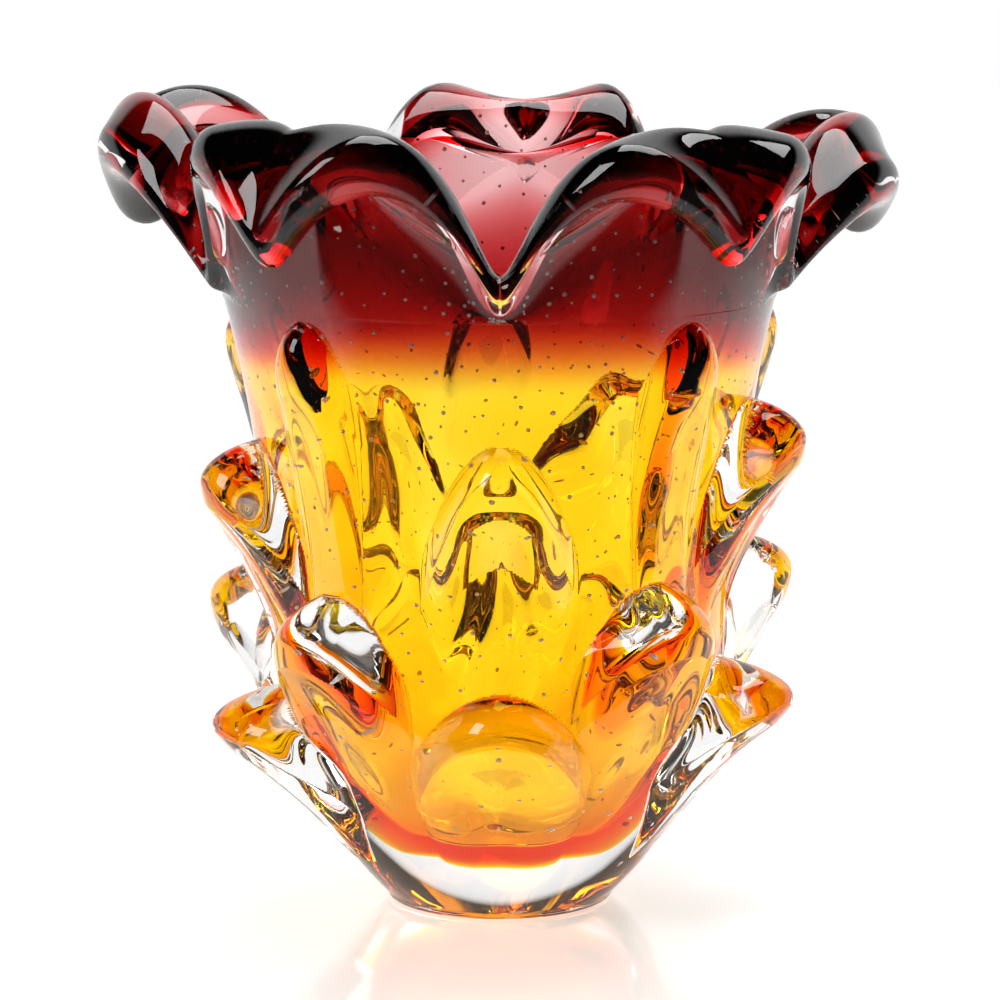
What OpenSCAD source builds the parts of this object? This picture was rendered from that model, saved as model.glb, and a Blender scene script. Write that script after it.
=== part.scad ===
// Hand-blown art glass vase: an amber cup cased in thick clear glass on a solid clear
// foot, a ruby band that is drawn out into five folded lip lobes, and four staggered
// tiers of leaves pulled from hot clear bits.
// Millimetres, +Z up. The origin is the centre of the polished flat under the foot,
// and azimuth 0 faces -Y, the valley between two lip lobes.

/* [Body] */
// Radius of the flat that the vase stands on
foot_r = 33; // [29:1:37]
// Height of the solid clear foot
foot_h = 16; // [13:1:20]
// Radius of the belly
belly_r = 64; // [61:1:67]
// Height at which the spread of the foot becomes the belly
belly_z = 75; // [68:1:82]
// How much the body has widened above the belly at the collar
flare = 15; // [11:1:18]
// Height of the collar, where the lip lobes begin
collar_z = 176; // [174:1:182]

/* [Colour layers] */
// Height of the flat under the amber cup
cup_base_z = 25; // [21:1:30]
// Radius of the flat under the amber cup
cup_base_r = 18; // [14:1:20]
// Outer radius of the colour layers at the collar
cup_top_r = 72.5; // [71:0.5:74]
// Thickness of the colour layers at the collar
cup_wall = 2.5; // [2:0.5:4]
// Thickness of the amber under the cavity
cup_floor = 5; // [3:0.5:6]
// Bow of the cup's side, from 0.5 for a round bowl to 1 for a cone
cup_bow = 0.6; // [0.5:0.05:0.8]
// Height at which the ruby band begins to lap over the amber
ruby_z = 156; // [140:1:162]

/* [Lip lobes] */
// Radius of the lip's middle in the valleys
valley_r = 81.5; // [80:0.5:84]
// Height of the lip's middle in the valleys
valley_z = 184; // [183:1:188]
// Half thickness of the lip's rounded edge in the valleys
valley_edge = 5; // [4:0.5:6]
// How far the tips of lobes 1 to 5 reach out beyond the valleys
lobe_reach = [22, 29, 24, 28, 21]; // [20:1:32]
// How widely lobes 1 to 5 are rolled over, from the tip alone to the whole lobe
lobe_curl = [0.2, 0.5, 0, 0.6, 0.2]; // [0:0.1:1]
// Which way the tips of lobes 1 to 5 point, 90 for straight out and 180 for straight down
lobe_lean = [162, 185, 125, 192, 162]; // [120:1:195]
// Rise of the humps on each side of lobes 1 to 5 above the valleys
hump_rise = [34, 25, 37, 36, 36]; // [24:1:38]
// Rise of the tips of lobes 1 to 5 above the valleys
tip_rise = [16, 14, 22, 18, 16]; // [12:1:24]
// Half thickness of the rounded edge at the tips of lobes 1 to 5
tip_edge = [8, 8, 8, 9, 8]; // [6:0.5:9]

/* [Leaves] */
// Width of a leaf where it is widest
leaf_w = 36; // [30:1:38]
// Distance from a leaf's crown to its upper edge
leaf_top = 14; // [12:1:16]
// Distance from a leaf's crown to the end of its tail
leaf_tail = 35; // [28:1:38]
// How far the leaves of the first tier stand out from the body
proud_a = 9; // [6:1:14]
// How far the leaves of the second tier stand out
proud_b = 19; // [12:1:20]
// How far the leaves of the third tier stand out
proud_c = 23; // [14:1:24]
// How far the leaves of the lowest tier stand out
proud_d = 24; // [14:1:25]
// Height of the first tier's crowns, under the lobes
tier_a_z = 160; // [150:1:161]
// Height of the second tier's crowns, under the valleys
tier_b_z = 128; // [122:1:134]
// Height of the third tier's crowns, under the lobes
tier_c_z = 85; // [82:1:90]
// Height of the lowest tier's crowns, under the valleys
tier_d_z = 58; // [57:1:64]
// How much higher each leaf of the first tier was set by hand
lift_a = [0, 0, 0, -3, 0]; // [-4:1:1]
// How much higher each leaf of the second tier was set by hand
lift_b = [0, 7, 2, -3, -5]; // [-6:1:7]
// How much higher each leaf of the third tier was set by hand
lift_c = [2, 5, 0, -3, -2]; // [-4:1:5]
// How much higher each leaf of the lowest tier was set by hand
lift_d = [0, 2, 2, -2, -6]; // [-6:1:4]
// How far round each leaf of the first tier was set from its place, in degrees
turn_a = [6, 0, 3, 0, -8]; // [-8:1:8]
// How far round each leaf of the second tier was set from its place
turn_b = [0, 0, 3, -2, 0]; // [-4:1:4]
// How far round each leaf of the third tier was set from its place
turn_c = [3, 0, -3, 0, -8]; // [-8:1:8]
// How far round each leaf of the lowest tier was set from its place
turn_d = [0, 0, 0, 4, 0]; // [-4:1:4]
// How far each leaf of the second tier was pulled, as a share of the tier's own reach
pull_b = [0.6, 1, 1, 1, 1]; // [0.5:0.1:1.1]
// How far each leaf of the third tier was pulled, as a share
pull_c = [0.8, 1, 1, 1, 0.8]; // [0.5:0.1:1.1]
// How far each leaf of the lowest tier was pulled, as a share
pull_d = [0.5, 1, 1, 1, 1]; // [0.5:0.1:1.1]

/* [Hidden] */

clear_tint = [0.93, 0.95, 0.93, 0.5];
amber_tint = [1.0, 0.72, 0.10, 0.6];
ruby_tint = [0.45, 0.05, 0.09, 0.8];

lobes = 5;
lobe_step = 360 / lobes;
lobe_half = lobe_step / 2;
foot_round = 2;
profile_step = 4;
side_steps = 9;
cap_steps = 4;
lobe_slices = 18;
leaf_rings = 5;
leaf_spokes = 18;
leaf_taper = 0.45;
valley_round = 0.12;
crease_round = 0.03;
hump_at = 0.45;
collar_spread = 0.25;

// Outside of the body at height z: a bowl that spreads from the foot, then widens
function outer_r(z) =
  let (below = 1 - min(z, belly_z) / belly_z)
  foot_r + (belly_r - foot_r) * (1 - below * below) + flare * pow(z / collar_z, 3);

// Outside of the colour layers, and the cavity inside them, at height z
function cup_r(z) =
  cup_base_r + (cup_top_r - cup_base_r) * pow((z - cup_base_z) / (collar_z - cup_base_z), cup_bow);
cavity_z = cup_base_z + cup_floor;
cavity_base_r = cup_base_r - 3;
cavity_top_r = cup_top_r - cup_wall;
function cavity_r(z) =
  cavity_base_r
  + (cavity_top_r - cavity_base_r) * pow((z - cavity_z) / (collar_z - cavity_z), cup_bow);

// Heights from low to high in about equal steps
function heights(low, high, step = profile_step) =
  let (n = ceil((high - low) / step))
  [for (i = [0:n]) low + (high - low) * i / n];
// The same, closer together near the bottom, where a cup turns in
function cup_heights(low, high, n = 26) =
  [for (i = [0:n]) low + (high - low) * pow(i / n, 2)];
function reversed(list) = [for (i = [len(list) - 1:-1:0]) list[i]];

module foot() {
  color(clear_tint)
  rotate_extrude($fn = 96)
  polygon(concat(
    [[0, 0], [foot_r - foot_round, 0]],
    [for (a = [-90:15:0]) [foot_r - foot_round * (1 - cos(a)), foot_round * (1 + sin(a))]],
    [for (z = heights(foot_round + 1, foot_h)) [outer_r(z), z]],
    [[0, foot_h]]
  ));
}

module clear_casing() {
  color(clear_tint)
  rotate_extrude($fn = 96)
  polygon(concat(
    [for (z = heights(foot_h, collar_z)) [outer_r(z), z]],
    [for (z = reversed(cup_heights(cup_base_z, collar_z))) [cup_r(z), z]],
    [[0, cup_base_z], [0, foot_h]]
  ));
}

module amber_cup() {
  color(amber_tint)
  rotate_extrude($fn = 96)
  polygon(concat(
    [[0, cup_base_z]],
    [for (z = cup_heights(cup_base_z, ruby_z)) [cup_r(z), z]],
    [for (z = reversed(cup_heights(cavity_z, collar_z))) [cavity_r(z), z]],
    [[0, cavity_z]]
  ));
}

module ruby_band() {
  color(ruby_tint)
  rotate_extrude($fn = 96)
  polygon(concat(
    [for (z = heights(ruby_z, collar_z)) [cup_r(z), z]],
    [[cavity_top_r, collar_z]]
  ));
}

// A point on a cubic curve
function cubic(p, s) =
  pow(1 - s, 3) * p[0] + 3 * pow(1 - s, 2) * s * p[1]
  + 3 * (1 - s) * pow(s, 2) * p[2] + pow(s, 3) * p[3];

// A share from 0 to 1 with its corner at 0 rounded off
function eased(x, radius) =
  (sqrt(x * x + radius * radius) - radius) / (sqrt(1 + radius * radius) - radius);

// How far the section at t is into a lobe: 0 in a valley at t = -1 or 1, 1 on the crease
function into_lobe(t) = eased(1 - eased(abs(t), crease_round), valley_round);

// The height of a hump, as a share, from a valley at g = 0 to the crease at g = 1
function hump(g) =
  let (power = hump_at / (1 - hump_at))
  pow(g, power) * (1 - g) / (pow(hump_at, power) * (1 - hump_at));

// The lip's edge, g = 0 in a valley and g = 1 on the lobe's crease: the middle of its bead,
// which way it points, half its thickness, and how far it is rolled. It has turned from
// outward in a valley to nearly straight down at most tips.
function lip_edge(g, lobe) =
  let (
    curl = lobe_curl[lobe],
    rolled = pow(g, 1 - 0.5 * curl),
    lean = 25 + (lobe_lean[lobe] - 25) * rolled,
    hump_z = (hump_rise[lobe] - hump_at * tip_rise[lobe]) * hump(g) * (1 - 0.2 * curl)
  )
  [
    [
      valley_r + lobe_reach[lobe] * pow(sin(90 * rolled), 1.2),
      valley_z + tip_rise[lobe] * g + hump_z
    ],
    [sin(lean), cos(lean)],
    valley_edge + (tip_edge[lobe] - valley_edge) * sin(90 * min(1, 1.6 * g)),
    rolled
  ];

// The curve of one side of the lip from the collar to the edge, 1 outside and -1 inside
function lip_side(g, lobe, side) =
  let (
    edge = lip_edge(g, lobe),
    rolled = edge[3],
    out = [edge[1][1], -edge[1][0]],
    start = [side > 0 ? outer_r(collar_z) : cavity_top_r, collar_z],
    rise = 4 + (side > 0 ? 31 : 39) * rolled,
    pull = side > 0 ? 4 + 29 * pow(rolled, 1.5) : 5 + 48 * pow(rolled, 1.5),
    end = edge[0] + side * out * edge[2]
  )
  [start, start + rise * [collar_spread, 1], end - pull * edge[1], end];

// The closed section of the lip: up its outside, round the edge and down its inside
function lip_section(g, lobe) =
  let (
    edge = lip_edge(g, lobe),
    out = [edge[1][1], -edge[1][0]],
    outside = lip_side(g, lobe, 1),
    inside = lip_side(g, lobe, -1)
  )
  concat(
    [for (i = [0:side_steps]) cubic(outside, i / side_steps)],
    [for (i = [1:cap_steps - 1]) let (a = 180 * i / cap_steps)
      edge[0] + edge[2] * (out * cos(a) + edge[1] * sin(a))],
    [for (i = [side_steps:-1:0]) cubic(inside, i / side_steps)]
  );

// One lip lobe: a fifth of the flared lip, from valley to valley, creased in the middle
module lip_lobe(number) {
  sections = [for (i = [0:lobe_slices])
    let (t = 2 * i / lobe_slices - 1, a = t * lobe_half)
    [for (p = lip_section(into_lobe(t), number - 1))
      [p[0] * sin(a), -p[0] * cos(a), p[1]]]
  ];
  n = len(sections[0]);
  last = lobe_slices * n;
  color(ruby_tint)
  rotate([0, 0, (number - 0.5) * lobe_step])
  polyhedron(
    points = [for (section = sections) for (p = section) p],
    faces = concat(
      [for (i = [0:lobe_slices - 1]) for (j = [0:n - 1]) let (k = (j + 1) % n)
        [i * n + j, i * n + k, (i + 1) * n + k, (i + 1) * n + j]],
      [[for (j = [n - 1:-1:0]) j]],
      [[for (j = [0:n - 1]) last + j]]
    )
  );
}

// A pulled leaf: a rounded ear that stands proud near its top and tapers down into the
// body. It is laid out on the body's own surface, round its crown at height crown_z.
module leaf(azimuth, crown_z, width, proud, tail = leaf_tail) {
  function spot(ring, spoke) =
    let (
      reach = ring / leaf_rings,
      a = 360 * spoke / leaf_spokes,
      down = max(0, -sin(a)),
      u = reach * width / 2 * cos(a) * (1 - leaf_taper * down),
      z = crown_z + reach * sin(a) * (down > 0 ? tail : leaf_top),
      swell = proud * pow(1 - reach * reach, 0.5 + 0.5 * down)
    )
    [u, z, swell];
  function placed(s, lift) =
    let (a = s[0] / outer_r(crown_z) * 180 / PI, r = outer_r(s[1]) + lift * s[2])
    [r * sin(a), -r * cos(a), s[1]];
  function ring_points(ring, lift) =
    [for (j = [0:leaf_spokes - 1]) placed(spot(ring, j), lift)];
  m = leaf_spokes;
  rim = 1 + (leaf_rings - 1) * m;
  back = rim + m;
  crown_back = back + (leaf_rings - 1) * m;
  color(clear_tint)
  rotate([0, 0, azimuth])
  polyhedron(
    points = concat(
      [placed([0, crown_z, proud], 1)],
      [for (ring = [1:leaf_rings]) for (p = ring_points(ring, 1)) p],
      [for (ring = [leaf_rings - 1:-1:1]) for (p = ring_points(ring, 0)) p],
      [placed([0, crown_z, proud], 0)]
    ),
    faces = concat(
      [for (j = [0:m - 1]) [0, 1 + (j + 1) % m, 1 + j]],
      [for (ring = [0:2 * leaf_rings - 3]) for (j = [0:m - 1])
        let (k = (j + 1) % m, low = 1 + ring * m, high = low + m)
        [low + j, low + k, high + k, high + j]],
      [for (j = [0:m - 1]) [crown_back, crown_back - m + j, crown_back - m + (j + 1) % m]]
    )
  );
}

// Tiers a and c stand under the lobes, and tiers b and d under the valleys
function under_lobe(i) = (i + 0.5) * lobe_step;
function under_valley(i) = i * lobe_step;
module leaf_a(number) {
  i = number - 1;
  leaf(under_lobe(i) + turn_a[i], tier_a_z + lift_a[i], leaf_w - 6, proud_a);
}
module leaf_b(number) {
  i = number - 1;
  leaf(under_valley(i) + turn_b[i], tier_b_z + lift_b[i], leaf_w, proud_b * pull_b[i]);
}
module leaf_c(number) {
  i = number - 1;
  leaf(under_lobe(i) + turn_c[i], tier_c_z + lift_c[i], leaf_w + 1, proud_c * pull_c[i]);
}
module leaf_d(number) {
  i = number - 1;
  leaf(under_valley(i) + turn_d[i], tier_d_z + lift_d[i], leaf_w + 4, proud_d * pull_d[i]);
}

foot();
clear_casing();
amber_cup();
ruby_band();
lip_lobe(1);  // lip_lobe_1
lip_lobe(2);  // lip_lobe_2
lip_lobe(3);  // lip_lobe_3
lip_lobe(4);  // lip_lobe_4
lip_lobe(5);  // lip_lobe_5
leaf_a(1);  // leaf_a1
leaf_a(2);  // leaf_a2
leaf_a(3);  // leaf_a3
leaf_a(4);  // leaf_a4
leaf_a(5);  // leaf_a5
leaf_b(1);  // leaf_b1
leaf_b(2);  // leaf_b2
leaf_b(3);  // leaf_b3
leaf_b(4);  // leaf_b4
leaf_b(5);  // leaf_b5
leaf_c(1);  // leaf_c1
leaf_c(2);  // leaf_c2
leaf_c(3);  // leaf_c3
leaf_c(4);  // leaf_c4
leaf_c(5);  // leaf_c5
leaf_d(1);  // leaf_d1
leaf_d(2);  // leaf_d2
leaf_d(3);  // leaf_d3
leaf_d(4);  // leaf_d4
leaf_d(5);  // leaf_d5
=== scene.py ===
import math

import bpy
import numpy as np
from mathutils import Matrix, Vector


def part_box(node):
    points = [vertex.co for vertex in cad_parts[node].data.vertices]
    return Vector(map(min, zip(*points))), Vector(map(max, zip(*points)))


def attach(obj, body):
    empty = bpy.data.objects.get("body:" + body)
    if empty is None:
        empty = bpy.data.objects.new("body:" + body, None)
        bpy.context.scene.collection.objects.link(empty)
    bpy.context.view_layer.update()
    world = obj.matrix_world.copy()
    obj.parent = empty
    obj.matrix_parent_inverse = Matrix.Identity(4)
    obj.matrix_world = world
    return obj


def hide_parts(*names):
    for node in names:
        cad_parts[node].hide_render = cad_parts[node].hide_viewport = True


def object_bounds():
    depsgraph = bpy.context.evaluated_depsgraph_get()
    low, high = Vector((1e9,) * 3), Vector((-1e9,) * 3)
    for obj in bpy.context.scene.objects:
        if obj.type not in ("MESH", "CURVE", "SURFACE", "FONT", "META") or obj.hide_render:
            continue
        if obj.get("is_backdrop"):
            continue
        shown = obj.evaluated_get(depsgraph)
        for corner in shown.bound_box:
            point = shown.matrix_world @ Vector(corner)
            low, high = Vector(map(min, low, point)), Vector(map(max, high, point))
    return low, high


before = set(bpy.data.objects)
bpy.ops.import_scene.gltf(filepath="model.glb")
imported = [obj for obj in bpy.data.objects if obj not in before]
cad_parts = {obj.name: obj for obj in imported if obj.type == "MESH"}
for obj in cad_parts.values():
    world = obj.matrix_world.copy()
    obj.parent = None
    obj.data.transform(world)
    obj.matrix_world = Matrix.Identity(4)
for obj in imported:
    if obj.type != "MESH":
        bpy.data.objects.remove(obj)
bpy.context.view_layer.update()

# ---------------------------------------------------------------------------------
# The foot: a solid gather of clear glass under the cup. It is cut off the pontil, and
# its underside is ground and polished flat round a shallow dish where the scar was. Its
# side is the start of the body's own outline, in millimetres like every size here.

MM = 0.001
foot_r = 33
foot_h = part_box("foot")[1].z / MM
belly_r = 64
belly_z = 75
flare = 15
collar_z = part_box("clear_casing")[1].z / MM
facet_depth = 0.35
foot_round = 2
dish_r = 14
dish_depth = 2.2
columns = 480
azimuths = np.arange(columns) * 360 / columns
# Fused faces that lie together are sunk by this hair, so that they never share a plane
sink = 0.04


def outer_r(z):
    """The body's outline: it spreads from the foot into a bowl, then flares to the lip."""
    below = 1 - np.minimum(z, belly_z) / belly_z
    return foot_r + (belly_r - foot_r) * (1 - below**2) + flare * (z / collar_z) ** 3


def skin_normals(surface, azimuth, row, step):
    """Normals of a surface given as a function, by small differences."""
    across = surface(azimuth + 0.05, row) - surface(azimuth - 0.05, row)
    up = surface(azimuth, row + step) - surface(azimuth, row - step)
    n = np.cross(across, up)
    return n / np.maximum(np.linalg.norm(n, axis=-1, keepdims=True), 1e-12)


class Shell:
    """Collects grids of points as quads, welds them and makes one closed mesh of them.

    A grid with normals is a real glass surface. One without is a fused joint, where the
    glass goes on into the next piece, so the material lets light straight through it.
    """

    def __init__(self):
        self.points, self.normals, self.quads, self.fused = [], [], [], []
        self.count = 0

    def add(self, points, normals=None, around=False, flip=False, keep=None):
        rows, columns = points.shape[:2]
        index = np.arange(rows * columns).reshape(rows, columns) + self.count
        if around:
            index = np.concatenate([index, index[:, :1]], 1)
        quads = np.stack([index[:-1, :-1], index[:-1, 1:], index[1:, 1:], index[1:, :-1]], -1)
        if keep is not None:
            quads = quads[keep]
        quads = quads.reshape(-1, 4)
        self.quads.append(quads[:, ::-1] if flip else quads)
        self.points.append(points.reshape(-1, 3))
        if normals is None:
            self.normals.append(np.zeros((rows * columns, 3)))
        else:
            self.normals.append(normals.reshape(-1, 3))
        self.fused.append(np.full(len(quads), normals is None))
        self.count += rows * columns

    def mesh(self, name):
        points = np.concatenate(self.points)
        normals = np.concatenate(self.normals)
        quads = np.concatenate(self.quads)
        fused = np.concatenate(self.fused)
        _, first, weld = np.unique(
            np.round(points * 2000).astype(np.int64), axis=0, return_index=True, return_inverse=True
        )
        weld = weld.reshape(-1)
        corners = weld[quads]
        # At a pole two corners of a quad are one point, and the quad becomes a triangle
        whole = (corners != np.roll(corners, -1, 1)).sum(1)
        faces, face_corners = [], []
        for corner, source, sides in zip(corners.tolist(), quads.tolist(), whole.tolist()):
            if sides == 4:
                faces.append(corner)
                face_corners.append(source)
            elif sides == 3:
                kept = [i for i in range(4) if corner[i] != corner[(i + 1) % 4]]
                faces.append([corner[i] for i in kept])
                face_corners.append([source[i] for i in kept])
        solid = whole >= 3
        mesh = bpy.data.meshes.new(name)
        mesh.from_pydata((points[first] * MM).tolist(), [], faces)
        mesh.polygons.foreach_set("use_smooth", ~fused[solid])
        mark = mesh.attributes.new("fused", "FLOAT", "FACE")
        mark.data.foreach_set("value", fused[solid].astype(np.float32))
        loop_normals = normals[np.array([c for face in face_corners for c in face])]
        mesh.normals_split_custom_set(loop_normals.tolist())
        mesh.update()
        return mesh


def add_piece(name, mesh, material, slot, *nodes):
    piece = bpy.data.objects.new(name, mesh)
    bpy.context.scene.collection.objects.link(piece)
    if not mesh.materials:
        mesh.materials.append(material)
    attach(piece, "root")
    if nodes:
        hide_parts(*nodes)


def add_node(material, kind, settings=None, links=None, **values):
    """Adds a node with its settings, the values of its inputs and the links into them."""
    node = material.node_tree.nodes.new(kind)
    for key, value in (settings or {}).items():
        setattr(node, key, value)
    for key, value in values.items():
        node.inputs[key.replace("_", " ")].default_value = value
    for key, socket in (links or {}).items():
        material.node_tree.links.new(socket, node.inputs[key])
    return node


glass_ior = 1.51


def hot_glass(name):
    """Fire-polished glass, with no roughness."""
    material = bpy.data.materials.new(name)
    material.use_nodes = True
    material.node_tree.nodes.clear()
    fused = add_node(material, "ShaderNodeAttribute", {"attribute_name": "fused"})
    ior = add_node(
        material, "ShaderNodeMath", {"operation": "MULTIPLY_ADD"}, {0: fused.outputs["Fac"]}
    )
    ior.inputs[1].default_value = 1 - glass_ior
    ior.inputs[2].default_value = glass_ior
    shader = add_node(
        material, "ShaderNodeBsdfPrincipled", None, {"IOR": ior.outputs[0]},
        Base_Color=(1, 1, 1, 1), Roughness=0.0, Transmission_Weight=1.0,
    )
    add_node(material, "ShaderNodeOutputMaterial", None, {"Surface": shader.outputs[0]})
    return material


clear_glass = hot_glass("soda_lime_clear_fire_polished")


def facets(azimuth, z):
    """The soft facets that the blower's tools leave, faint enough to see only as ripples."""
    return facet_depth * np.sin(np.radians(5 * azimuth + 40)) * np.sin(z / 17)


def foot_profile(t):
    """Radius and height of the foot's outside, t = 0 under its centre to 3 at its top."""
    flat_r = foot_r - foot_round
    dish = np.clip(t, 0, 1)
    turn = np.clip(t - 1, 0, 1)
    side = np.clip(t - 2, 0, 1)
    in_dish = dish * flat_r
    depth = dish_depth * np.clip(1 - (in_dish / dish_r) ** 2, 0, 1) ** 1.5
    a = turn * np.pi / 2
    z = np.where(t <= 1, depth, np.where(turn < 1, foot_round * (1 - np.cos(a)), foot_round))
    r = np.where(t <= 1, in_dish, flat_r + foot_round * np.sin(a))
    side_z = foot_round + (foot_h - foot_round) * side
    side_r = outer_r(side_z) - (outer_r(foot_round) - foot_r) * (1 - side) ** 2
    return np.where(t > 2, side_r, r), np.where(t > 2, side_z, z)


def foot_skin(azimuth, t):
    r, z = foot_profile(t)
    a = np.radians(azimuth)
    r = r + facets(azimuth, z) * np.clip(t - 2, 0, 1)
    return np.stack([r * np.sin(a), -r * np.cos(a), z], -1)


def sunk_disc(ring, drop):
    """A fused disc inside a closed ring of points, dropped so that it is clear of the next."""
    centre = ring.mean(0) + [0, 0, drop]
    return np.stack([ring, ring * [0.97, 0.97, 1] + [0, 0, drop], np.broadcast_to(centre, ring.shape)])


foot_rows = np.concatenate(
    [np.linspace(0, 1, 40), np.linspace(1, 2, 10)[1:], np.linspace(2, 3, 16)[1:]]
)
t, a = np.meshgrid(foot_rows, azimuths, indexing="ij")
foot = Shell()
foot_points = foot_skin(a, t)
foot_normals = skin_normals(foot_skin, a, np.clip(t, 0.004, 3), 0.004)
foot_normals[0] = [0, 0, -1]
foot.add(foot_points, foot_normals, around=True)
foot.add(sunk_disc(foot_points[-1], -sink), around=True)
add_piece("foot_glass", foot.mesh("foot_glass"), clear_glass, "clear_glass", "foot")

# ---------------------------------------------------------------------------------
# The clear casing: a thick gather under and round the colours. Its outside is the vase's
# own skin, its inside is fused to the amber and the ruby, and it is fused to each leaf,
# where the leaf's glass runs on into it.

lobe_count = 5
lobe_step = 360 / lobe_count
cup_base_z = 25
cup_base_r = 18
cup_top_r = 72.5
cup_wall = 2.5
cup_floor = 5
cup_bow = 0.6
cavity_z = cup_base_z + cup_floor
cavity_base_r = cup_base_r - 3
cavity_top_r = cup_top_r - cup_wall

# The leaves shape the casing too. Each is a hot bit pressed on, gripped and pulled up
# and out. They stand under the lobes in tiers a and c, and under the valleys in b and d.
# A tier's row is the height of its crowns, the width, the length of the tail, how far
# the leaves stand out, how full they stay below the crown, how far the arch droops at
# its sides, and each leaf's own lift, turn from its place and share of the pull.
leaf_sizes = {
    "a": (160, 31, 84, 9, 1.3, 20, (0, 0, 0, -3, 0), (6, 0, 3, 0, -8), (1, 1, 1, 1, 1)),
    "b": (128, 46, 42, 19, 2.0, 34, (0, 7, 2, -3, -5), (0, 0, 3, -2, 0), (0.6, 1, 1, 1, 1)),
    "c": (85, 50, 42, 23, 1.9, 26, (2, 5, 0, -3, -2), (3, 0, -3, 0, -8), (0.8, 1, 1, 1, 0.8)),
    "d": (58, 54, 44, 24, 1.2, 22, (0, 2, 2, -2, -6), (0, 0, 0, 4, 0), (0.5, 1, 1, 1, 1)),
}
leaves = {}
for tier, (crown, width, tail, proud, full, droop, *own) in leaf_sizes.items():
    for number, (lift, turn, pulled) in enumerate(zip(*own), 1):
        turn = turn + (number - 0.5 if tier in "ac" else number - 1) * lobe_step
        leaves[f"leaf_{tier}{number}"] = (
            turn, crown + lift, width, tail, proud * pulled, full, droop
        )
leaf_top = 14
leaf_taper = 0.35
# A leaf's tip is lifted by this share of how far it stands out
leaf_hook = 0.08


def turned(azimuth, centre):
    """How far an azimuth is from a centre, in degrees from -180 to 180."""
    return (azimuth - centre + 180) % 360 - 180


def leaf_swell(azimuth, z, leaf):
    """How far one leaf lifts the skin: an arched ridge that runs down beside a hollow."""
    centre, crown, width, tail, proud, full, droop = leaf
    u = np.radians(turned(azimuth, centre)) * outer_r(crown)
    v = z - crown + droop * (2 * u / width) ** 2
    down = np.clip(-v / tail, 0, 1)
    half = width / 2 * (1 - leaf_taper * down)
    across = np.clip(1 - (u / half) ** 2, 0, 1)
    up = np.clip(v / leaf_top, 0, 1)
    swell = across**1.5 * (1 - up**2) ** 0.85 * (1 - down**full) ** 1.6
    # The pincers leave a hollow under the crown, with a ridge down each side of it
    hollow = 0.32 * np.exp(-((u / (0.2 * width)) ** 2)) * np.clip((-v - 6) / 14, 0, 1)
    return proud * swell * (1 - hollow)


def pulled_wall(azimuth, z):
    """How far the leaves drag the inner wall after them as they are pulled."""
    pull = np.zeros(np.broadcast(azimuth, z).shape)
    for centre, crown, width, tail, proud, _, _ in leaves.values():
        u = np.radians(turned(azimuth, centre)) * outer_r(crown)
        v = (z - crown + 4) / np.where(z > crown - 4, leaf_top, 0.45 * tail)
        pull = pull + 0.11 * proud * np.exp(-((u / (0.25 * width)) ** 2) - v**2)
    fade = np.clip((z - foot_h - 10) / 12, 0, 1) * np.clip((collar_z - z) / 12, 0, 1)
    return pull * fade * fade * (3 - 2 * fade)


def body_skin(azimuth, z, with_leaves=True):
    """The outside of the body at an azimuth and a height, with the leaves on it."""
    r = outer_r(z) + facets(azimuth, z)
    rise = np.zeros_like(r)
    if with_leaves:
        for leaf in leaves.values():
            swell = leaf_swell(azimuth, z, leaf)
            r = r + swell
            rise = rise + leaf_hook * swell
    a = np.radians(azimuth)
    return np.stack([r * np.sin(a), -r * np.cos(a), z + rise], -1)


def plain_skin(azimuth, z):
    return body_skin(azimuth, z, with_leaves=False)


def inner_layer(radius_at, rows_z, azimuths):
    """A grid of points on a layer inside the wall, with one row for each height."""
    z, azimuth = np.meshgrid(np.asarray(rows_z, float), azimuths, indexing="ij")
    r = radius_at(z) + pulled_wall(azimuth, z)
    a = np.radians(azimuth)
    return np.stack([r * np.sin(a), -r * np.cos(a), z], -1)


def cup_r(z):
    """The outside of the colour layers, a round bowl that opens into a cone."""
    share = np.clip((z - cup_base_z) / (collar_z - cup_base_z), 0, None)
    return cup_base_r + (cup_top_r - cup_base_r) * share**cup_bow


def cavity_r(z):
    share = np.clip((z - cavity_z) / (collar_z - cavity_z), 0, None)
    return cavity_base_r + (cavity_top_r - cavity_base_r) * share**cup_bow


casing_rows = np.linspace(foot_h, collar_z, 150)
z, a = np.meshgrid(casing_rows, azimuths, indexing="ij")
casing_points = body_skin(a, z)
casing_normals = skin_normals(body_skin, a, z, 0.05)

under_leaf = {}
covered = np.zeros((len(casing_rows) - 1, columns), bool)
for name, leaf in leaves.items():
    swell = np.concatenate([leaf_swell(a, z, leaf)] * 2, 1)[:, :columns + 1]
    raised = swell > 0.02
    cells = raised[:-1, :-1] | raised[1:, :-1] | raised[:-1, 1:] | raised[1:, 1:]
    under_leaf[name] = cells & ~covered
    covered |= cells

# A point with leaves all round it sinks a hair below the leaf's own back
wrapped = np.concatenate([covered[:, -1:], covered], 1)
inner = wrapped[:, :-1] & wrapped[:, 1:]
buried = np.zeros(z.shape, bool)
buried[1:-1] = inner[:-1] & inner[1:]
floor_points = plain_skin(a, z)
outward = floor_points * [1, 1, 0]
outward /= np.linalg.norm(outward, axis=-1, keepdims=True)
sunk_points = np.where(buried[..., None], floor_points - 2 * sink * outward, casing_points)

casing = Shell()
casing.add(casing_points, casing_normals, around=True, keep=~covered)
casing.add(sunk_points, around=True, keep=covered)
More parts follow.
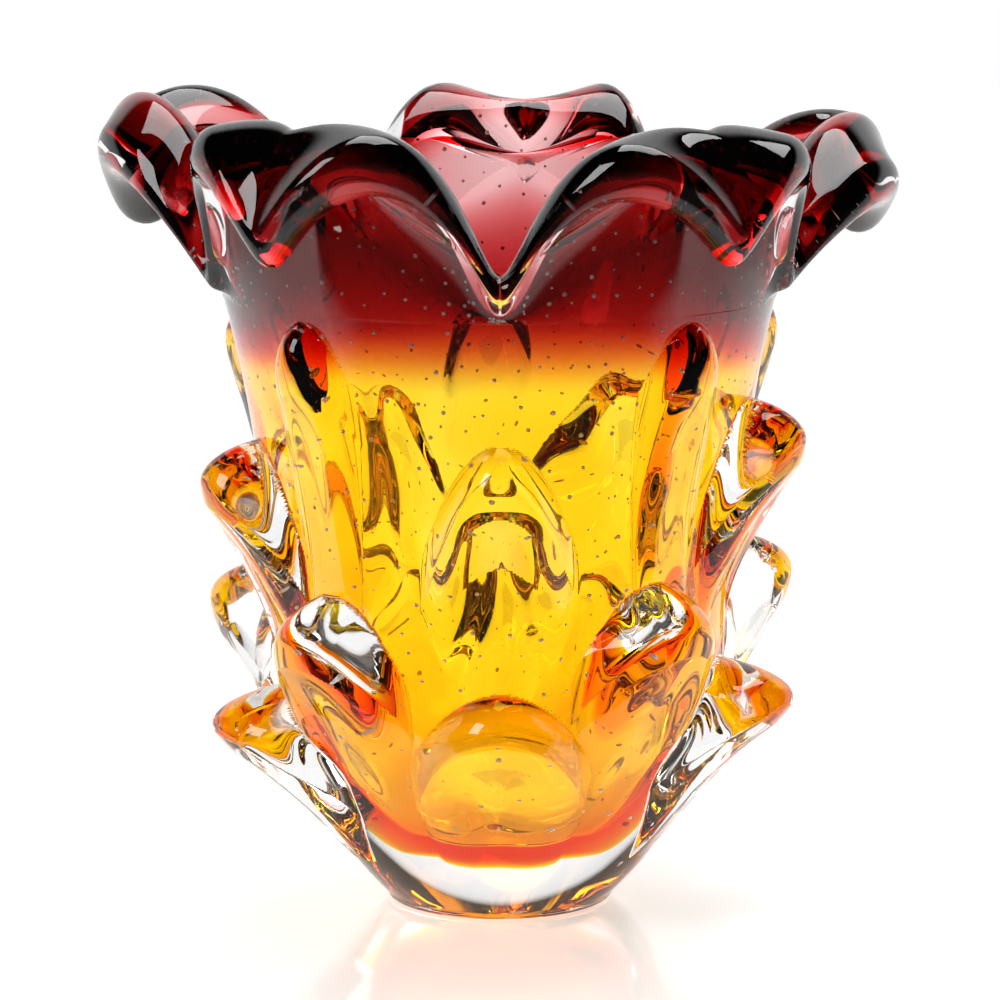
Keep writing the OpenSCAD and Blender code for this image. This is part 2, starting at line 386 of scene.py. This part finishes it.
# The rows stand closer together near the floor, where the cup turns in
inner_rows = cup_base_z + (collar_z - cup_base_z) * np.linspace(0, 1, 42) ** 2
inner_points = inner_layer(lambda h: cup_r(h) + sink, inner_rows, azimuths)
inner_points[0, :, 2] += sink
inner_points[-1, :, 2] -= sink
casing.add(inner_points, around=True, flip=True)
casing.add(np.stack([inner_points[0], inner_points[0] * [0, 0, 1]]), around=True)
casing.add(sunk_disc(casing_points[0], sink), around=True, flip=True)
casing.add(np.stack([casing_points[-1], inner_points[-1]]), around=True)
add_piece(
    "casing_glass", casing.mesh("casing_glass"), clear_glass, "clear_glass", "clear_casing"
)

# ---------------------------------------------------------------------------------
# The amber cup: the first gather, coloured right through, and the wall of the cavity.
# Its inside is bare glass with soft ripples where the leaves were pulled, and its
# outside is fused to the casing. It feathers out under the ruby near the collar.

ruby_z = 156
feather_rows = 36
cord_depth = 0.5
cord_waves = np.random.default_rng(7).uniform(0, 2 * np.pi, 12)


def coloured_glass(name, absorbed_per_mm):
    """Glass that takes each colour out of the light as it goes through, per millimetre."""
    material = hot_glass(name)
    strongest = max(absorbed_per_mm)
    volume = add_node(
        material, "ShaderNodeVolumeAbsorption", None, None,
        Color=[1 - c / strongest for c in absorbed_per_mm] + [1], Density=strongest / MM,
    )
    output = material.node_tree.nodes["Material Output"]
    material.node_tree.links.new(volume.outputs[0], output.inputs["Volume"])
    return material


amber_glass = coloured_glass("amber_glass", (0.003, 0.078, 0.7))


def cavity_skin(azimuth, t):
    """The inside of the cup, t = 0 at the centre of its floor, 1 at its edge, 2 at the top."""
    floor = np.clip(t, 0, 1)
    rise = np.clip(t - 1, 0, 1)
    z = cavity_z + (collar_z - cavity_z) * rise**1.7
    r = np.where(t <= 1, cavity_base_r * floor, cavity_r(z) + pulled_wall(azimuth, z))
    fade = np.clip(rise * 4, 0, 1) * np.clip((1 - rise) * 6, 0, 1)
    a = np.radians(azimuth)
    # Cords: slow waves round and up the wall, each with its own start
    ripple = 0
    for number, start in enumerate(cord_waves):
        turns = 3 + 2 * (number % 6)
        length = 9 + 2.3 * number
        ripple = ripple + np.sin(turns * a + start + 1.7 * np.sin(z / length + 2 * start)) / turns**0.5
    r = r - cord_depth * ripple * fade
    return np.stack([r * np.sin(a), -r * np.cos(a), z], -1)


cavity_rows = np.concatenate([np.linspace(0, 1, 8), np.linspace(1, 2, 110)[1:]])
t, a = np.meshgrid(cavity_rows, azimuths, indexing="ij")
cavity_points = cavity_skin(a, t)
cavity_normals = -skin_normals(cavity_skin, a, np.clip(t, 0.004, 2), 0.002)
cavity_normals[0] = [0, 0, 1]
amber = Shell()
amber.add(cavity_points, cavity_normals, around=True, flip=True)
lap_rows = cup_base_z + (ruby_z - cup_base_z) * np.linspace(0, 1, 50) ** 2
amber_outside = inner_layer(lambda h: cup_r(h) - sink, lap_rows, azimuths)
amber_outside[0, :, 2] += 2 * sink


def lap_layer(inset):
    """The joint between amber and ruby: it leaves the casing slowly and ends on the collar."""
    layer = inner_layer(
        lambda h: cup_r(h) - inset - cup_wall * ((h - ruby_z) / (collar_z - ruby_z)) ** 1.7,
        np.linspace(ruby_z, collar_z, feather_rows), azimuths,
    )
    layer[-1] = cavity_points[-1]
    return layer


amber_lap = lap_layer(1.5 * sink)
amber.add(np.concatenate([amber_outside, amber_lap[1:]]), around=True)
amber_floor = np.stack([amber_outside[0] * [0, 0, 1], amber_outside[0]])
amber.add(amber_floor, around=True)
add_piece(
    "amber_cup_glass", amber.mesh("amber_cup_glass"), amber_glass, "amber_glass", "amber_cup"
)

# ---------------------------------------------------------------------------------
# The ruby band: ruby glass laid over the amber below the collar. It starts as a feather
# edge, which is why the colour fades from ruby through orange into amber.

ruby_glass = coloured_glass("gold_ruby_glass", (0.42, 1.9, 1.85))
ruby = Shell()
band_rows = np.linspace(ruby_z, collar_z - 0.01, feather_rows)
band_outside = inner_layer(lambda h: cup_r(h) - sink, band_rows, azimuths)
band_inside = lap_layer(1.2 * sink)
band_inside[0] = band_outside[0]
band_inside[-1, :, 2] = band_outside[-1, :, 2]
ruby.add(band_outside, around=True)
ruby.add(band_inside, around=True, flip=True)
ruby.add(np.stack([band_outside[-1], band_inside[-1]]), around=True)
add_piece(
    "ruby_band_glass", ruby.mesh("ruby_band_glass"), ruby_glass, "ruby_glass", "ruby_band"
)

# ---------------------------------------------------------------------------------
# The five lip lobes: the hot lip is sheared at the valleys, rolled outward, pulled down
# at the middle of each lobe and pinched there, so that two humps stand beside a crease.
# Each has a thick clear outside, and a ruby lining just under its inner side.

valley_lean = 25
valley_r = 81.5
valley_z = 184
valley_half = 5
valley_round = 0.12
crease_round = 0.03
hump_at = 0.45
back_turn = 4.8
lobe_shapes = (
    # reach, curl, lean of the tip, rise of humps and of tip, half the rolled edge's thickness
    (22, 0.2, 162, 34, 16, 8.0),
    (29, 0.5, 185, 25, 14, 8.0),
    (24, 0.0, 125, 37, 22, 8.0),
    (28, 0.6, 192, 36, 18, 9.5),
    (21, 0.2, 162, 36, 16, 8.5),
)
edge_turns = 12


def eased(x, radius):
    """x from 0 to 1 with its corner at 0 rounded off."""
    return (np.sqrt(x**2 + radius**2) - radius) / (np.sqrt(1 + radius**2) - radius)


def lip_parts(azimuth):
    """Where the lip's edge is at an azimuth, which way it points, and how thick it is."""
    azimuth = azimuth + back_turn * np.exp(-((turned(azimuth, 180) / 40) ** 2))
    number = np.clip((azimuth % 360) // lobe_step, 0, lobe_count - 1).astype(int)
    shape = np.moveaxis(np.array(lobe_shapes)[number], -1, 0)
    reach, curl, tip_lean, hump_rise, tip_rise, hump_half = shape
    across = np.abs((azimuth % lobe_step) - lobe_step / 2) / (lobe_step / 2)
    g = eased(1 - eased(across, crease_round), valley_round)
    rolled = np.maximum(g, 1e-6) ** (1 - 0.5 * curl)
    lean = np.radians(valley_lean + (tip_lean - valley_lean) * rolled)
    power = hump_at / (1 - hump_at)
    peak = np.maximum(g, 0) ** power * (1 - g) / (hump_at**power * (1 - hump_at))
    edge_r = valley_r + reach * np.sin(np.pi / 2 * np.clip(rolled, 0, 1)) ** 1.2
    edge_z = valley_z + tip_rise * g + (hump_rise - hump_at * tip_rise) * peak * (1 - 0.2 * curl)
    way = np.stack([np.sin(lean), np.cos(lean)], -1)
    half = valley_half + (hump_half - valley_half) * np.sin(np.pi / 2 * np.clip(g * 1.6, 0, 1))
    return np.stack([edge_r, edge_z], -1), way, half, rolled


def lip_curve(azimuth, s, side):
    """One side of the lip from the collar to its edge: side = 1 outside, -1 inside.

    It is a cubic curve that leaves along the body for a length, its rise, and comes to
    the edge along the way the edge points for another, its pull.
    """
    edge, way, half, rolled = lip_parts(azimuth)
    out = np.stack([way[..., 1], -way[..., 0]], -1)
    if side > 0:
        start = np.array([outer_r(collar_z), collar_z])
        slope = 3 * flare / collar_z
        rise, pull = 4 + 31 * rolled, 4 + 29 * rolled**1.5
    else:
        start = np.array([cavity_top_r, collar_z])
        slope = (cavity_top_r - cavity_base_r) * cup_bow / (collar_z - cavity_z)
        rise, pull = 4 + 39 * rolled, 5 + 48 * rolled**1.5
    end = edge + side * out * half[..., None]
    first = start + rise[..., None] * np.array([slope, 1])
    second = end - pull[..., None] * way
    s = s[..., None]
    return (
        (1 - s) ** 3 * start + 3 * (1 - s) ** 2 * s * first
        + 3 * (1 - s) * s**2 * second + s**3 * end
    )


def placed(rz, azimuth):
    a = np.radians(azimuth)
    return np.stack([rz[..., 0] * np.sin(a), -rz[..., 0] * np.cos(a), rz[..., 1]], -1)


def lip_skin(azimuth, t):
    """The lip's whole skin: t from 0 to 1 outside, to 2 round the edge, to 3 down inside."""
    edge, way, half, _ = lip_parts(azimuth)
    out = np.stack([way[..., 1], -way[..., 0]], -1)
    turn = np.pi * np.clip(t - 1, 0, 1)[..., None]
    bead = edge + half[..., None] * (out * np.cos(turn) + way * np.sin(turn))
    outside = lip_curve(azimuth, np.clip(t, 0, 1), 1)
    inside = lip_curve(azimuth, np.clip(3 - t, 0, 1), -1)
    t = t[..., None]
    return placed(np.where(t <= 1, outside, np.where(t < 2, bead, inside)), azimuth)


side_rows = 56
lip_rows = np.concatenate([
    np.linspace(0, 1, side_rows), np.linspace(1, 2, edge_turns + 1)[1:-1], np.linspace(2, 3, side_rows)
])
lobe_columns = columns * 2 // lobe_count
# The lining: how deep it lies under the inner side, its thickness at the collar, blown
# out at the front and at the back, and swollen in the rolled edge at the front and back
lining_top = 0.4
lining_depth = 2.6
lining_front, lining_back = 4.2, 0.9
lining_swollen, lining_back_swollen = 10, 3
lining_cap = np.linspace(0, np.pi, edge_turns + 1)[1:-1]


def lining_section(azimuth, s):
    """The ruby inside the lip: a sheet under the inner side that swells towards the edge.

    It stops near the collar in the valleys, and leaves a clear lens there. It thins again
    at the tips, where it was pulled out, and it is never thicker than its share of the wall.
    """
    _, _, _, rolled = lip_parts(azimuth)
    reach = 0.12 + 0.88 * np.clip(rolled * 3, 0, 1) ** 0.8
    inside = lip_curve(azimuth, s * reach, -1)
    outside = lip_curve(azimuth, s * reach, 1)
    gap = outside - inside
    wall = np.linalg.norm(gap, axis=-1)
    front = 0.5 + 0.5 * np.cos(np.radians(azimuth))
    swollen = lining_back_swollen + (lining_swollen - lining_back_swollen) * front**0.5
    pulled_thin = 1 - 0.6 * np.clip((rolled - 0.55) / 0.35, 0, 1)
    swollen = np.minimum(0.6 * wall, swollen * pulled_thin)
    blown = lining_back + (lining_front - lining_back) * front**0.8
    depth = lining_depth + (np.minimum(blown, 0.7 * wall) - lining_depth) * np.clip(s / 0.25, 0, 1)
    depth = depth + (swollen - depth) * np.clip((s - 0.5) / 0.5, 0, 1) ** 1.4
    return inside, gap / wall[..., None], depth


def closed_section(points, mid_shift):
    """Fused faces that close a cut end: a strip from the outer side to the inner side."""
    rows = len(points) // 2
    outer_side, inner_side = points[:rows], points[::-1][:rows]
    middle = (outer_side + inner_side) / 2 + mid_shift
    middle[-1] = (points[rows - 1] + points[rows]) / 2
    return np.stack([outer_side, middle, inner_side])


for number in range(lobe_count):
    name = f"lip_lobe_{number + 1}"
    span = number * lobe_step + np.linspace(0, lobe_step, lobe_columns + 1)
    t, a = np.meshgrid(lip_rows, span, indexing="ij")
    inside_span = np.clip(a, span[0] + 1e-7, span[-1] - 1e-7)
    lobe_points = lip_skin(inside_span, t)
    lobe_normals = skin_normals(lip_skin, a, t, 0.002)
    lobe = Shell()
    lobe.add(lobe_points, lobe_normals)
    for column, sign in ((0, 1), (-1, -1)):
        side = np.radians(span[column])
        inward = sign * np.array([np.cos(side), np.sin(side), 0]) * sink / 2
        lobe.add(closed_section(lobe_points[:, column], inward), flip=sign < 0)
    low = lobe_points[0], lobe_points[-1]
    middle = (low[0] + low[1]) / 2
    middle[1:-1, 2] += sink
    lobe.add(np.stack([low[1], middle, low[0]]))
    add_piece(name + "_casing", lobe.mesh(name + "_casing"), clear_glass, "clear_glass", name)

    # The ruby lining follows the inner side and ends inside the rolled edge
    lining_span = np.linspace(span[0] + 0.01, span[-1] - 0.01, lobe_columns // 2 + 1)
    s, a = np.meshgrid(np.linspace(0, 1, side_rows), lining_span, indexing="ij")
    inside, through, depth = lining_section(a, s)
    shallow = inside + through * lining_top
    deep = inside + through * depth[..., None]
    for sheet in (shallow, deep):
        sheet[0, :, 1] = collar_z + 0.01
    middle, radius = (shallow[-1] + deep[-1]) / 2, (deep[-1] - shallow[-1]) / 2
    ahead = np.stack([-radius[:, 1], radius[:, 0]], -1)
    cap = [middle + radius * np.cos(turn) + ahead * np.sin(turn) for turn in lining_cap]
    section = placed(np.concatenate([deep, cap, shallow[::-1]]), lining_span)
    lining = Shell()
    lining.add(section)
    for column, flip in ((0, False), (-1, True)):
        lining.add(closed_section(section[:, column], 0), flip=flip)
    lining.add(np.stack([section[-1], section[0]]))
    add_piece(name + "_lining", lining.mesh(name + "_lining"), ruby_glass, "ruby_glass", name)

# ---------------------------------------------------------------------------------
# The twenty leaves: clear bits pressed on in four staggered tiers and pulled up into
# ears. Each is closed at its back, where its glass runs on into the casing.

fine = 2
for name, leaf in leaves.items():
    cells = under_leaf[name]
    rows = np.nonzero(cells.any(1))[0]
    shift = columns // 2 - int(round(leaf[0] / 360 * columns))
    rolled_cells = np.roll(cells, shift, 1)
    used = np.nonzero(rolled_cells.any(0))[0]
    row_low, row_high = rows[0], rows[-1] + 1
    column_low, column_high = used[0], used[-1] + 1
    part = rolled_cells[row_low:row_high, column_low:column_high]
    part = np.repeat(np.repeat(part, fine, 0), fine, 1)
    grid_z = np.linspace(casing_rows[row_low], casing_rows[row_high], part.shape[0] + 1)
    grid_a = (np.linspace(column_low, column_high, part.shape[1] + 1) - shift) * 360 / columns
    z, a = np.meshgrid(grid_z, grid_a, indexing="ij")
    front = body_skin(a, z)
    around_part = np.pad(part, 1)
    whole = around_part[:-1, :-1] & around_part[1:, :-1] & around_part[:-1, 1:] & around_part[1:, 1:]
    back = plain_skin(a, z)
    outward = back * [1, 1, 0]
    outward /= np.linalg.norm(outward, axis=-1, keepdims=True)
    back = np.where(whole[..., None], back - sink * outward, front)
    shell = Shell()
    shell.add(front, skin_normals(body_skin, a, z, 0.05), keep=part)
    shell.add(back, flip=True, keep=part)
    add_piece(name + "_glass", shell.mesh(name + "_glass"), clear_glass, "clear_glass", name)

# ---------------------------------------------------------------------------------
# The seeds: small round bubbles trapped in rows between the gathers, where a spiked
# mould pricked the glass before the clear casing went over it. They are tiny hollows.

bubble_r = (0.3, 0.7)
bubble_gap = 9
bubble_depth = 1.6
lip_gap_degrees = 4.6


def bubble_places():
    """Where each bubble is: staggered rings in the body, and rows that follow the lip."""
    random = np.random.default_rng(11)
    places = []
    for ring, z in enumerate(np.arange(36, collar_z - 2, bubble_gap)):
        count = int(2 * np.pi * cup_r(z) / bubble_gap)
        azimuth = (np.arange(count) + ring % 2 / 2) * 360 / count + random.normal(0, 1.2, count)
        height = z + random.normal(0, 1.4, count)
        r = cup_r(height) + pulled_wall(azimuth, height) + bubble_depth
        places.append(placed(np.stack([r, height], -1), azimuth))
    for share in np.arange(0.08, 0.95, 0.13):
        azimuth = np.arange(0, 360, lip_gap_degrees)
        azimuth = azimuth + random.normal(0, 0.7, len(azimuth))
        s = share + random.normal(0, 0.02, len(azimuth))
        inside, through, depth = lining_section(azimuth, s)
        lifted = inside + through * (depth + 0.35 * bubble_depth + 0.4)[..., None]
        places.append(placed(lifted, azimuth))
    return np.concatenate(places)


def bubble_tree(material):
    """Geometry Nodes that put a bubble of its own size on every point."""
    tree = bpy.data.node_groups.new("bubbles", "GeometryNodeTree")
    for name, kind, direction in (
        ("Points", "NodeSocketGeometry", "INPUT"), ("Smallest", "NodeSocketFloat", "INPUT"),
        ("Largest", "NodeSocketFloat", "INPUT"), ("Seed", "NodeSocketInt", "INPUT"),
        ("Bubbles", "NodeSocketGeometry", "OUTPUT"),
    ):
        tree.interface.new_socket(name, in_out=direction, socket_type=kind)
    given = tree.nodes.new("NodeGroupInput")
    ball = tree.nodes.new("GeometryNodeMeshIcoSphere")
    ball.inputs["Radius"].default_value = 1
    ball.inputs["Subdivisions"].default_value = 2
    size = tree.nodes.new("FunctionNodeRandomValue")
    spread = tree.nodes.new("GeometryNodeInstanceOnPoints")
    smooth = tree.nodes.new("GeometryNodeSetShadeSmooth")
    real = tree.nodes.new("GeometryNodeRealizeInstances")
    finish = tree.nodes.new("GeometryNodeSetMaterial")
    finish.inputs["Material"].default_value = material
    result = tree.nodes.new("NodeGroupOutput")
    for source, target in (
        (given.outputs["Smallest"], size.inputs["Min"]), (given.outputs["Largest"], size.inputs["Max"]),
        (given.outputs["Seed"], size.inputs["Seed"]), (given.outputs["Points"], spread.inputs["Points"]),
        (ball.outputs["Mesh"], spread.inputs["Instance"]), (size.outputs["Value"], spread.inputs["Scale"]),
        (spread.outputs["Instances"], smooth.inputs["Geometry"]),
        (smooth.outputs["Geometry"], real.inputs["Geometry"]),
        (real.outputs["Geometry"], finish.inputs["Geometry"]),
        (finish.outputs["Geometry"], result.inputs["Bubbles"]),
    ):
        tree.links.new(source, target)
    return tree


def linear(hex_colour):
    """An sRGB hex colour as linear red, green, blue and alpha."""
    channels = [int(hex_colour[i:i + 2], 16) / 255 for i in (1, 3, 5)]
    return [c / 12.92 if c <= 0.04045 else ((c + 0.055) / 1.055) ** 2.4 for c in channels] + [1]


# Air inside glass: the light leaves the glass at a bubble, so its index is the inverse
trapped_air = bpy.data.materials.new("trapped_air_in_glass")
trapped_air.use_nodes = True
trapped_air.node_tree.nodes.clear()
air = add_node(
    trapped_air, "ShaderNodeBsdfGlass", None, None,
    Color=(1, 1, 1, 1), Roughness=0.0, IOR=1 / glass_ior,
)
# The inner wall of a seed throws most of the light back, which makes it look silvery; that look is painted
# in here: half of each seed's shader is a matte off-white, a painted sheen that stands in for the light
# thrown back
painted_silver_sheen = add_node(trapped_air, "ShaderNodeBsdfDiffuse", None, None, Color=linear("#FFF8F4"))
wall = add_node(trapped_air, "ShaderNodeMixShader", None, {1: air.outputs[0], 2: painted_silver_sheen.outputs[0]})
wall.inputs["Fac"].default_value = 0.5
add_node(trapped_air, "ShaderNodeOutputMaterial", None, {"Surface": wall.outputs[0]})

points = bpy.data.meshes.new("bubble_points")
points.from_pydata((bubble_places() * MM).tolist(), [], [])
source = bpy.data.objects.new("bubble_points", points)
bpy.context.scene.collection.objects.link(source)
spread = source.modifiers.new("bubbles", "NODES")
spread.node_group = bubble_tree(trapped_air)
inputs = {socket.name: socket.identifier for socket in spread.node_group.interface.items_tree}
spread[inputs["Smallest"]] = bubble_r[0] * MM
spread[inputs["Largest"]] = bubble_r[1] * MM
spread[inputs["Seed"]] = 5
evaluated = source.evaluated_get(bpy.context.evaluated_depsgraph_get())
bubble_mesh = bpy.data.meshes.new_from_object(evaluated)
bubble_mesh.name = "bubbles"
bpy.data.objects.remove(source)
add_piece("bubbles", bubble_mesh, trapped_air, "clear_glass")

# ---------------------------------------------------------------------------------
# The studio: a bright white sweep behind and under the glass, a dark room round it, and
# two soft boxes. Clear glass needs the dark as much as the light, to draw its edges.

scene = bpy.context.scene
scene.view_settings.view_transform = "Standard"
scene.cycles.max_bounces = 48
scene.cycles.transmission_bounces = 48
scene.cycles.transparent_max_bounces = 48
scene.cycles.glossy_bounces = 6

world = bpy.data.worlds.new("studio")
scene.world = world
world.use_nodes = True
world.node_tree.nodes.clear()
# The sweep is behind the glass and curls over it. The rest of the room is dim, and
# dimmest above, so that what the rolled rim reflects is dark.
compass = add_node(world, "ShaderNodeTexCoord")
behind = add_node(
    world, "ShaderNodeVectorMath", {"operation": "DOT_PRODUCT"}, {0: compass.outputs["Generated"]}
)
behind.inputs[1].default_value = (0, 0.8, -0.6)
sweep = add_node(
    world, "ShaderNodeMapRange", {"interpolation_type": "SMOOTHSTEP"}, {"Value": behind.outputs["Value"]},
    From_Min=-0.02, From_Max=0.2,
)
apart = add_node(world, "ShaderNodeSeparateXYZ", None, {0: compass.outputs["Generated"]})
room = add_node(world, "ShaderNodeMapRange", None, {"Value": apart.outputs["Z"]},
                From_Min=-0.25, From_Max=0.3, To_Min=0.08, To_Max=0.01)
ramp = add_node(
    world, "ShaderNodeMix", {"data_type": "FLOAT"}, {0: sweep.outputs[0], 2: room.outputs[0]}
)
ramp.inputs[3].default_value = 1
seen = add_node(world, "ShaderNodeLightPath")
mix = add_node(
    world, "ShaderNodeMix", {"data_type": "RGBA"},
    {0: seen.outputs["Is Camera Ray"], 6: ramp.outputs[0]},
)
mix.inputs[7].default_value = (1, 1, 1, 1)
backdrop = add_node(world, "ShaderNodeBackground", None, {"Color": mix.outputs[2]})
add_node(world, "ShaderNodeOutputWorld", None, {"Surface": backdrop.outputs[0]})

floor_material = bpy.data.materials.new("glossy_white_acrylic")
floor_material.use_nodes = True
floor_material.node_tree.nodes.clear()
floor_shader = add_node(
    floor_material, "ShaderNodeBsdfPrincipled", None, None,
    Base_Color=linear("#F4F2F0"), Roughness=0.12, Emission_Color=(1, 1, 1, 1), Emission_Strength=0.45,
)
add_node(floor_material, "ShaderNodeOutputMaterial", None, {"Surface": floor_shader.outputs[0]})
floor_mesh = bpy.data.meshes.new("floor")
far, near = 4, 0.118
floor_mesh.from_pydata(
    [(-far, -near, 0), (far, -near, 0), (far, far, 0), (-far, far, 0)], [], [(0, 1, 2, 3)]
)
floor_mesh.materials.append(floor_material)
floor = bpy.data.objects.new("floor", floor_mesh)
floor.location.z = -0.0002
scene.collection.objects.link(floor)
floor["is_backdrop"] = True


def soft_box(name, place, aim, width, height, power):
    lamp = bpy.data.lights.new(name, "AREA")
    lamp.shape = "RECTANGLE"
    lamp.size, lamp.size_y, lamp.energy = width, height, power
    box = bpy.data.objects.new(name, lamp)
    scene.collection.objects.link(box)
    box.location = place
    direction = np.array(aim) - np.array(place)
    box.rotation_euler = (
        math.acos(-direction[2] / np.linalg.norm(direction)), 0,
        math.atan2(direction[1], direction[0]) - math.pi / 2,
    )


middle = (0, 0, 0.12)
soft_box("overhead_soft_box", (0.1, 0.25, 1.3), middle, 0.9, 0.9, 14)
soft_box("left_soft_box", (-1.0, -0.7, 0.9), middle, 0.5, 0.7, 8)

# The camera stands a little above the lip and looks slightly down at the middle
camera_data = bpy.data.cameras.new("camera")
camera = bpy.data.objects.new("camera", camera_data)
scene.collection.objects.link(camera)
scene.camera = camera
distance = 1.2
elevation = math.radians(9)
aim_z = 0.116
camera_data.lens = 150
camera.location = (0, -distance * math.cos(elevation), aim_z + distance * math.sin(elevation))
camera.rotation_euler = (math.pi / 2 - elevation, 0, 0)

low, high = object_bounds()
